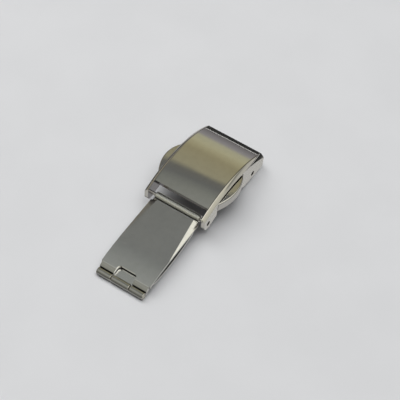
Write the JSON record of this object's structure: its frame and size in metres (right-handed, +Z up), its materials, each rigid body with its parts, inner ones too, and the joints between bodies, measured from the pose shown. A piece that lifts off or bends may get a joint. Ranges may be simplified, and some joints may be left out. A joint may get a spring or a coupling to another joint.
{
  "type": "bracelet deployment clasp",
  "caption": "Fold-over bracelet clasp with an arched cover, side push buttons and two hinged blades, shown opened out.",
  "frame": {"origin": "on the table, under the middle of the opened clasp", "axes": "+X along the clasp towards the cover, +Y to the left button, +Z up, out of the cover's top"},
  "size_m": [0.041, 0.0168, 0.0071],
  "materials": {
    "polished_steel": "polished",
    "blade_steel": "polished",
    "button_steel": "polished",
    "inner_steel": "satin",
    "pin_steel": "satin",
    "spring_steel": "drawn wire"
  },
  "bodies": {
    "cover": {"cover_shell": "polished_steel", "latch_frame": "inner_steel", "frame_rivets": "pin_steel", "left_front_spring": "spring_steel", "left_rear_spring": "spring_steel", "right_front_spring": "spring_steel", "right_rear_spring": "spring_steel", "left_spring_guides": "pin_steel", "right_spring_guides": "pin_steel", "front_hinge_pin": "pin_steel"},
    "left_button": {"left_button_cap": "button_steel", "left_latch_slide": "inner_steel", "left_slide_rivets": "pin_steel"},
    "right_button": {"right_button_cap": "button_steel", "right_latch_slide": "inner_steel", "right_slide_rivets": "pin_steel"},
    "middle_blade": {"middle_blade": "blade_steel", "rear_hinge_pin": "pin_steel"},
    "inner_blade": {"inner_blade": "blade_steel"}
  },
  "joints": [
    {"name": "front_hinge", "type": "hinge", "parent": "cover", "child": "middle_blade", "pos_m": [-0.00022, 0, 0.0033], "axis": [0, -1, 0], "range_deg": [0, 160.6]},
    {"name": "rear_hinge", "type": "hinge", "parent": "middle_blade", "child": "inner_blade", "pos_m": [-0.01975, 0, 0.00075], "axis": [0, 1, 0], "range_deg": [0, 175]},
    {"name": "left_press", "type": "slide", "parent": "cover", "child": "left_button", "axis": [0, -1, 0], "range_m": [0, 0.0007], "stiffness_N_per_m": 300, "springref_m": -0.0005, "deforming": ["left_front_spring", "left_rear_spring"]},
    {"name": "right_press", "type": "slide", "parent": "cover", "child": "right_button", "axis": [0, 1, 0], "range_m": [0, 0.0007], "stiffness_N_per_m": 300, "springref_m": -0.0005, "deforming": ["right_front_spring", "right_rear_spring"]}
  ]
}
